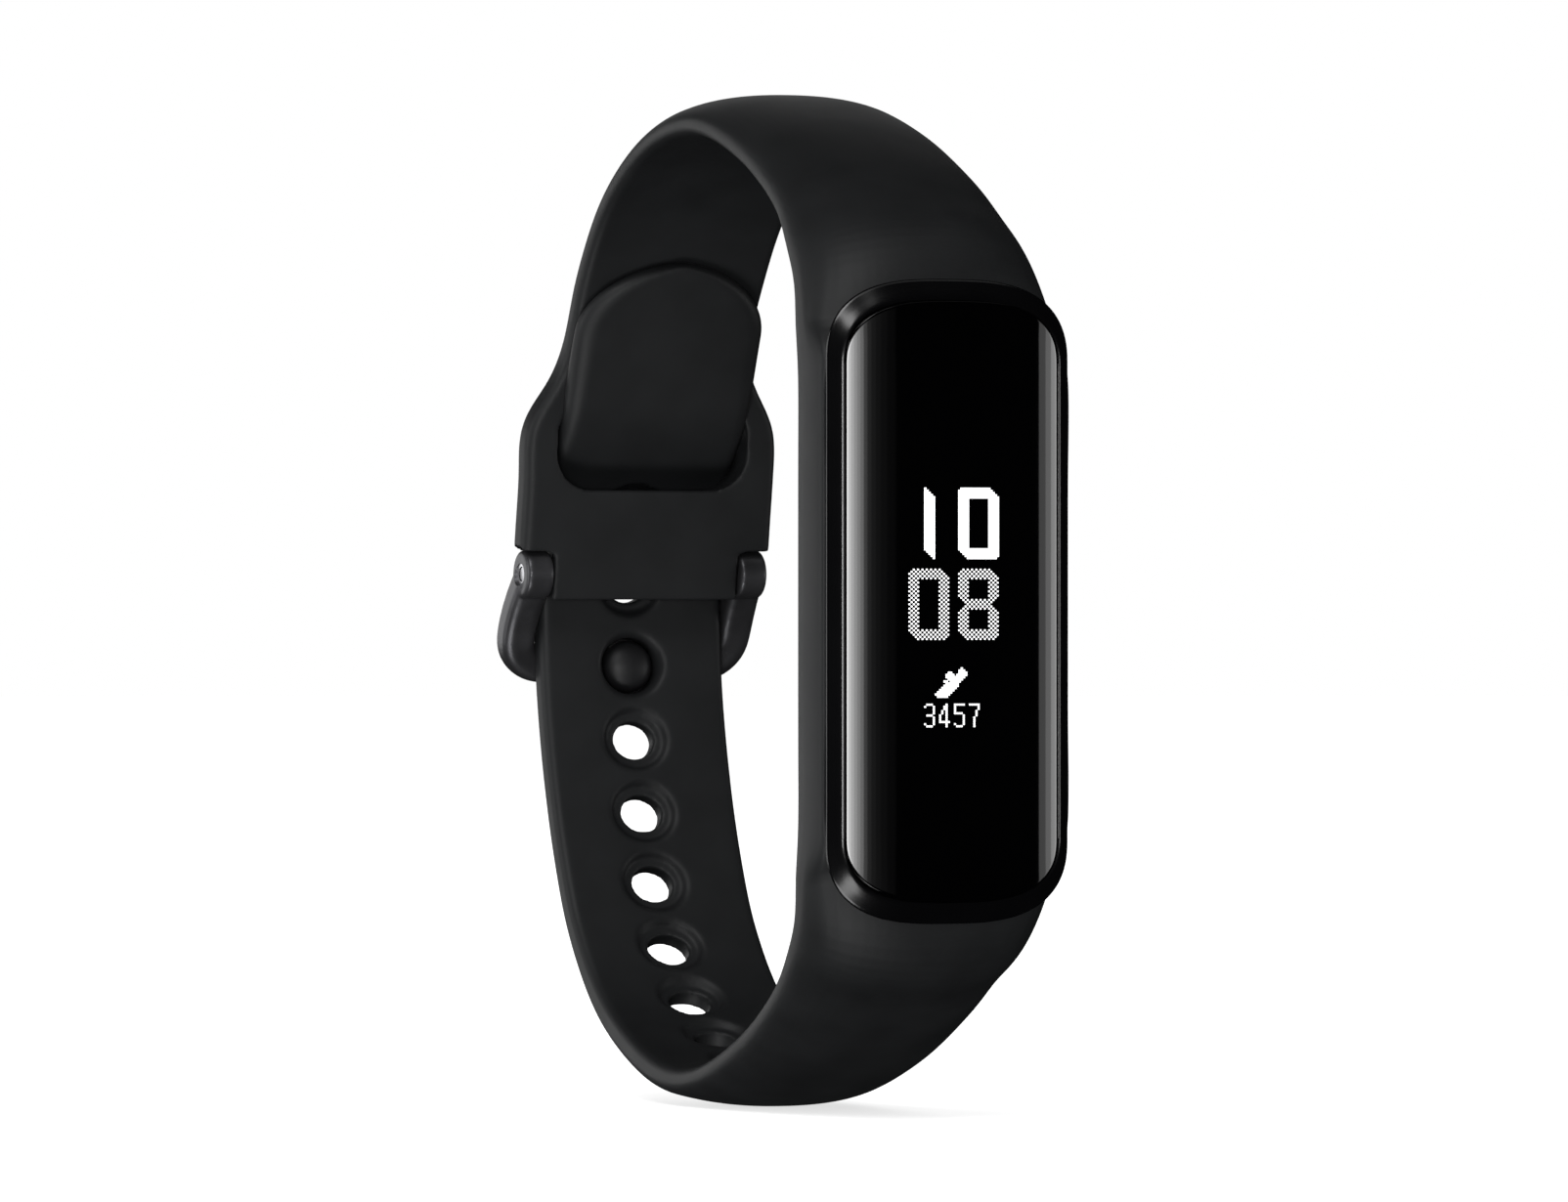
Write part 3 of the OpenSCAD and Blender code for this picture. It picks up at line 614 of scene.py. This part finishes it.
# insets from the glass edge, with the drop of its fine bevel
GLASS_EDGE = [(0, 0.3), (0, 0.06), (0.015, 0.025), (0.04, 0.006)]
GLASS_FACE = (0.08, 0.16, 0.3, 0.5, 0.75, 1.0, 1.25, 1.5, 1.75, 2.0, 2.4, 3, 3.8, 4.6, 5.4, 6.2, 6.9)
rings = stack([(GLASS_W - 0.04, GLASS_H - 0.04, GLASS_ARCH, -29.94)], 28)
for inset, drop in GLASS_EDGE + [(v, 0) for v in GLASS_FACE]:
    ring = outline(GLASS_W - inset, GLASS_H - inset, max(GLASS_ARCH - inset * 0.6, 0.3), n=28)
    rings.append([(x, min(glass_y(x) + drop, -29.95), z) for x, z in ring])
glass = loft("glass", rings)
tidy_normals(glass)
finish_piece(glass, "tracker", GLASS, ["cover_glass"], angle=60)

# steps down from the seam with the bezel to the sensor side, each with a rounded edge
SHELL = [(6.4, 18.4, 5.0, -28.0), (6.4, 18.4, 5.0, -26.42), (7.3, 19.3, 5.4, -26.42),
         (7.3, 19.3, 5.4, -24.95), (7.22, 19.22, 5.3, -24.8), (7.05, 19.05, 5.2, -24.755),
         (6.4, 17.3, 4.6, -24.755), (6.4, 17.3, 4.6, -23.4), (6.34, 17.22, 4.6, -23.2),
         (6.2, 17.05, 4.5, -23.06), (6.0, 16.8, 4.4, -23.0), (5.62, 15.2, 4.1, -23.0),
         (5.52, 15.05, 4.0, -22.92), (5.5, 15.0, 4.0, -22.8), (5.5, 15.0, 4.0, -21.5),
         (5.46, 14.94, 4.0, -21.25), (5.34, 14.8, 3.9, -21.08), (5.15, 14.6, 3.8, -21.0),
         (3.5, 5.3, 3.2, -21.0), (3.4, 5.2, 3.1, -21.06)]
rear = loft("rear_shell", stack(SHELL, 24))
tidy_normals(rear)
cut(rear, slab("inner_a", 6.0, 18.0, 4.8, -25.35, -30))
cut(rear, slab("inner_b", 5.7, 16.6, 4.2, -23.7, -30))
cut(rear, slab("inner_c", 4.8, 14.3, 3.6, -21.75, -30))
cut(rear, slab("lens_hole", 3.35, 5.15, 3.1, -20, -23))
PIN_X, PIN_Z, PIN_HOLE_R = 2.7, -13, 0.98
for x in (-PIN_X, PIN_X):
    spot = Matrix.Translation((x, 0, PIN_Z)) @ Matrix(((1, 0, 0, 0), (0, 0, 1, 0), (0, -1, 0, 0),
                                                       (0, 0, 0, 1)))
    cut(rear, lathe("pin_hole", [(PIN_HOLE_R, -23), (PIN_HOLE_R, -20)], spot, 32))
finish_piece(rear, "tracker", REAR, ["rear_cover"], angle=40)

LENS_W, LENS_H, LENS_ARCH, LENS_TOP = 3.3, 5.1, 3.05, -20.12
rings = stack([(LENS_W - inset, LENS_H - inset, LENS_ARCH, y)
               for inset, y in ((0, -21.7), (0, -20.98), (0.02, -20.9), (0.08, -20.84))], 20)
for inset in (0.2, 0.4, 0.7, 1.1, 1.6, 2.2, 2.8, 3.2):
    ring = outline(LENS_W - inset, LENS_H - inset, max(LENS_ARCH - inset, 0.1), n=20)
    rings.append([(x, LENS_TOP - (x * x * 0.046 + z * z * 0.019), z) for x, z in ring])
lens = loft("lens", rings)
tidy_normals(lens)
finish_piece(lens, "tracker", LENS, ["ppg_lens"], angle=50)


# ---------------------------------------------------------------- display
COLS, ROWS, STROKE = 19, 33, 5


def digit(kind):
    """Cells of one large digit, 0 or 8, as a set of (column, row from the top)."""
    cells = set()
    right, bottom, middle = COLS - 1, ROWS - 1, ROWS // 2
    for r in range(ROWS):
        for c in range(COLS):
            on = c < STROKE or c > right - STROKE or r < STROKE or r > bottom - STROKE
            # corners: upper right and lower left cut off, the other two only blunted
            on = on and (right - c) + r >= 4 and c + (bottom - r) >= 4
            on = on and c + r >= 1 and (right - c) + (bottom - r) >= 1
            if kind == "8":
                away = abs(r - middle)
                on = (on or away <= 2) and c + away >= 3 and (right - c) + away >= 3
            if on:
                cells.add((c, r))
    return cells


# small digits and the shoe, one word of cells to a row from the top
SMALL = {
    "3": "01110 10001 00001 00001 00001 01110 00001 00001 00001 10001 01110",
    "4": "00010 00110 00110 01010 01010 10010 10010 10010 11111 00010 00010",
    "5": "11111 10000 10000 10000 11110 00001 00001 00001 00001 10001 01110",
    "7": "11111 00001 00001 00010 00010 00010 00100 00100 00100 00100 00100"}
SHOE = ("0000000000001000 0000000000011100 0000001100011110 0000011110111110 0000011111111100 "
        "0000001111111000 0000110111110000 0000011111100000 0000111111100000 0001111111000000 "
        "0011111110000000 0111111100000000 1111111000000000 0111110000000000")
CELL_W, CELL_H = 0.1437, 0.1337
LEFT_DIGIT, RIGHT_DIGIT, HOUR_Z, MINUTE_Z = -3.17, 0.15, 7.03, 2.02
lit = []


def drawn(rows):
    return {(c, r) for r, row in enumerate(rows.split()) for c, v in enumerate(row) if v == "1"}


def put(cells, x0, z0, pitch=CELL_W, checker=False, fill=1.0):
    """Lights the cells from the upper left corner x0, z0; checker leaves out every other one."""
    for c, r in cells:
        if checker and (c + r) % 2:
            continue
        x, z = x0 + c * pitch, z0 - r * CELL_H
        w, h = CELL_W * fill, CELL_H * fill
        lit.append((x, x + w, z - h, z))


put({(c, r) for c in range(STROKE) for r in range(c, 29 + c)}, -2.13, HOUR_Z)
put(digit("0"), RIGHT_DIGIT, HOUR_Z)
put(digit("0"), LEFT_DIGIT, MINUTE_Z, checker=True, fill=0.82)
put(digit("8"), RIGHT_DIGIT, MINUTE_Z, checker=True, fill=0.82)
put(drawn(SHOE), -1.41, -4.07)
for k, ch in enumerate("3457"):
    put(drawn(SMALL[ch]), -2.13 + k, -6.31, 0.146, fill=0.86)
CELL_OUT, CELL_IN = 0.012, -0.02
bm = bmesh.new()
for x0, x1, z0, z1 in lit:
    vs = [bm.verts.new((x, glass_y(x) - off, z)) for off in (CELL_OUT, CELL_IN)
          for x, z in ((x0, z0), (x1, z0), (x1, z1), (x0, z1))]
    for q in ((0, 1, 2, 3), (7, 6, 5, 4), (4, 5, 1, 0), (5, 6, 2, 1), (6, 7, 3, 2), (7, 4, 0, 3)):
        bm.faces.new([vs[i] for i in q])
me = bpy.data.meshes.new("display_digits")
bm.to_mesh(me)
bm.free()
digits = bpy.data.objects.new("display_digits", me)
bpy.context.scene.collection.objects.link(digits)
tidy_normals(digits)
LIT = bpy.data.materials.new("lit_pixels")
LIT.use_nodes = True
nt = LIT.node_tree
bs = nt.nodes["Principled BSDF"]
bs.inputs["Base Color"].default_value = (0.8, 0.8, 0.8, 1)
co = nt.nodes.new("ShaderNodeTexCoord")
no = nt.nodes.new("ShaderNodeTexNoise")
no.inputs["Scale"].default_value = 900
ramp = nt.nodes.new("ShaderNodeValToRGB")
ramp.color_ramp.elements[0].color = (0.93, 0.95, 0.97, 1)
ramp.color_ramp.elements[1].color = (1, 1, 1, 1)
nt.links.new(co.outputs["Object"], no.inputs["Vector"])
nt.links.new(no.outputs["Fac"], ramp.inputs["Fac"])
nt.links.new(ramp.outputs["Color"], bs.inputs["Emission Color"])
bs.inputs["Emission Strength"].default_value = 1.0
finish_piece(digits, "tracker", LIT, smooth=False)

# ---------------------------------------------------------------- stage, light and camera
floor_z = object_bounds()[0][2] - 0.02 * MM
bpy.ops.mesh.primitive_circle_add(vertices=96, radius=3, fill_type="NGON", location=(0, 0, floor_z))
floor = bpy.context.object
floor.name = "floor"
FLOOR = material("floor_pale", (0.9, 0.9, 0.9), 0.9, spec=0.1, vary=0.01, vary_scale=3)
fb = FLOOR.node_tree.nodes["Principled BSDF"]
fb.inputs["Emission Color"].default_value = (1, 1, 1, 1)
fb.inputs["Emission Strength"].default_value = 0.68
floor.data.materials.append(FLOOR)
# the floor neither lights the object nor shows in its gloss
floor.visible_glossy = False
floor.visible_diffuse = False
floor.visible_shadow = False

bpy.context.scene.view_settings.view_transform = "Standard"
world = bpy.data.worlds.new("studio")
bpy.context.scene.world = world
world.use_nodes = True
world.cycles_visibility.glossy = False
wt = world.node_tree
wt.nodes["Background"].inputs["Color"].default_value = (1, 1, 1, 1)
# white behind the object, but a dimmer light on it
path = wt.nodes.new("ShaderNodeLightPath")
level = wt.nodes.new("ShaderNodeMapRange")
level.inputs["To Min"].default_value = 0.42
level.inputs["To Max"].default_value = 1.0
wt.links.new(path.outputs["Is Camera Ray"], level.inputs["Value"])
wt.links.new(level.outputs["Result"], wt.nodes["Background"].inputs["Strength"])


PANEL_DISTANCE = 1.2


def panel(name, az0, az1, el0, el1, radiance):
    """Soft box that fills a range of azimuth and elevation with even light, aimed at the origin.

    Azimuth 0 is the display side, -90 the left of the band."""
    w = 2 * PANEL_DISTANCE * math.tan(math.radians((az1 - az0) / 2))
    h = 2 * PANEL_DISTANCE * math.tan(math.radians((el1 - el0) / 2))
    a, e = math.radians((az0 + az1) / 2), math.radians((el0 + el1) / 2)
    data = bpy.data.lights.new(name, "AREA")
    data.shape = "RECTANGLE"
    data.size, data.size_y = w, h
    data.energy = radiance * math.pi * w * h
    ob = bpy.data.objects.new(name, data)
    bpy.context.scene.collection.objects.link(ob)
    ob.location = Vector((math.sin(a) * math.cos(e), -math.cos(a) * math.cos(e), math.sin(e)))
    ob.location *= PANEL_DISTANCE
    ob.rotation_euler = (-ob.location).to_track_quat("-Z", "Y").to_euler()
    ob.visible_camera = False


def strips(name, start, width, levels):
    """Row of narrow panels at display height, each with its own brightness."""
    for k, level in enumerate(levels):
        panel("%s_%d" % (name, k), start + width * k, start + width * (k + 1), -4.5, 4.5, level)


# the front strips fade from the bright left edge of the glass inwards
strips("front_strip", -34, 3.6, (24, 22, 18, 13, 9.5, 6.8, 4.8, 3.2, 1.1, 0.4, 0.22, 0.14, 0.09, 0.05))
strips("right_strip", 44, 8, (1.2, 2.5, 4.5, 6.5))
panel("upper_corner", -56, -30, 36, 56, 6.5)
panel("upper_corner_fade", -34, -6, 54, 66, 1.2)
panel("upper_rim", -6, 50, 64, 76, 0.5)
panel("lower_corner", -56, -26, -60, -36, 5.5)
panel("left_side", -122, -92, -20, 25, 2.6)
panel("end_light", -176, -142, -10, 10, 1.5)
panel("back_side", 150, 180, 5, 35, 0.7)

VIEW_AZ = math.radians(22)
VIEW_DISTANCE, SHIFT_RIGHT, SHIFT_UP = 700 * MM, 0.99 * MM, 0.03 * MM
right = Vector((math.cos(VIEW_AZ), -math.sin(VIEW_AZ), 0))
back = Vector((-math.sin(VIEW_AZ), -math.cos(VIEW_AZ), 0))
cam_data = bpy.data.cameras.new("camera")
cam_data.lens = 249.7
cam_data.sensor_width = 36
cam_data.clip_start = 0.05
camera = bpy.data.objects.new("camera", cam_data)
bpy.context.scene.collection.objects.link(camera)
camera.location = back * VIEW_DISTANCE + right * SHIFT_RIGHT + Vector((0, 0, SHIFT_UP))
camera.rotation_euler = (-back).to_track_quat("-Z", "Y").to_euler()
bpy.context.scene.camera = camera
